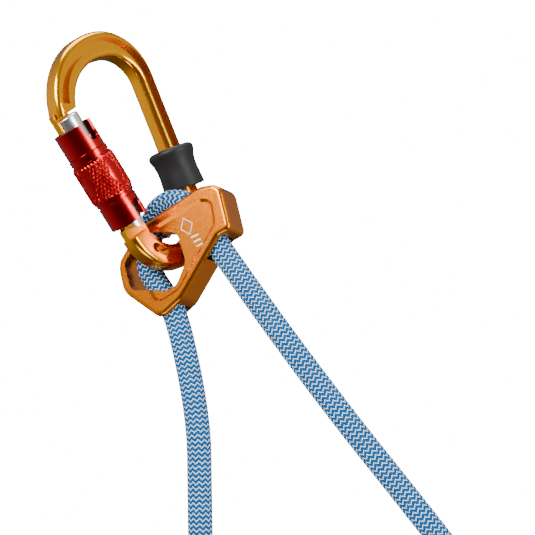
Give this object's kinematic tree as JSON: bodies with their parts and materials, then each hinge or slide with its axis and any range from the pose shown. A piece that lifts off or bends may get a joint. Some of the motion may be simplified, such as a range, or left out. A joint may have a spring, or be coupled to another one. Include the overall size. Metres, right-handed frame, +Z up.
{
  "type": "rope grab",
  "caption": "Rope adjuster block on a twist-locking carabiner, with a blue and white lanyard rope threaded through it, sewn at both ends.",
  "frame": {"origin": "the point inside the carabiner's wide end where the anchor bears", "axes": "+Z up, away from the hanging rope; +X to the right, towards the taut strand; +Y to the rear, so the front plate faces -Y"},
  "size_m": [0.2209, 0.0718, 0.3736],
  "materials": {
    "gold_anodised": "satin anodised",
    "orange_anodised": "satin anodised",
    "silver_anodised": "satin",
    "red_anodised": "satin anodised",
    "steel": "bright",
    "bush_plastic": "matte",
    "grey_rubber": "matte",
    "rope_sheath": "woven, blue and white",
    "thread": "twisted thread",
    "cover_plastic": "matte"
  },
  "bodies": {
    "carabiner": {"carabiner_frame": "gold_anodised"},
    "gate": {"gate": "silver_anodised", "hinge_rivet": "steel", "gate_spring": "steel", "sleeve_spring": "steel", "snap_ring": "steel", "stop_pin": "steel"},
    "plunger": {"gate_plunger": "steel"},
    "sleeve": {"lock_sleeve": "red_anodised", "sleeve_bush": "bush_plastic"},
    "keeper": {"spine_keeper": "grey_rubber"},
    "grab": {"grab_body": "orange_anodised", "rope_bight": "rope_sheath", "rope_tail_strand": "rope_sheath", "rope_load_strand": "rope_sheath", "load_eye": "rope_sheath", "eye_stitching": "thread", "eye_cover": "cover_plastic", "tail_fold": "rope_sheath", "tail_stitching": "thread", "tail_cover": "cover_plastic"}
  },
  "joints": [
    {"name": "gate_hinge", "type": "hinge", "parent": "carabiner", "child": "gate", "pos_m": [0.01523, -0.01047, -0.06659], "axis": [-0.657, 0.7071, -0.2614], "range_deg": [0, 25], "stiffness_Nm_per_rad": 0.08, "springref_deg": -20.05},
    {"name": "plunger_slide", "type": "slide", "parent": "gate", "child": "plunger", "axis": [-0.5151, -0.1678, 0.8405], "range_m": [0, 0.0014], "deforming": ["gate_spring"]},
    {"name": "sleeve_twist", "type": "hinge", "parent": "gate", "child": "sleeve", "pos_m": [0.01523, -0.01047, -0.06659], "axis": [0.5151, 0.1678, -0.8405], "range_deg": [0, 100], "stiffness_Nm_per_rad": 0.01, "springref_deg": -28.65, "deforming": ["sleeve_spring"]},
    {"name": "keeper_slide", "type": "slide", "parent": "carabiner", "child": "keeper", "axis": [-0.3697, 0, 0.9291], "range_m": [0, 0.012]},
    {"name": "grab_swivel", "type": "hinge", "parent": "carabiner", "child": "grab", "pos_m": [0.03335, 0.00079, -0.08168], "axis": [-0.4197, -0.8934, 0.1599], "range_deg": [-8, 10]}
  ],
  "couplings": [
    {"joint": "plunger_slide", "follows": "gate_hinge", "m_per_rad": 0.003}
  ]
}
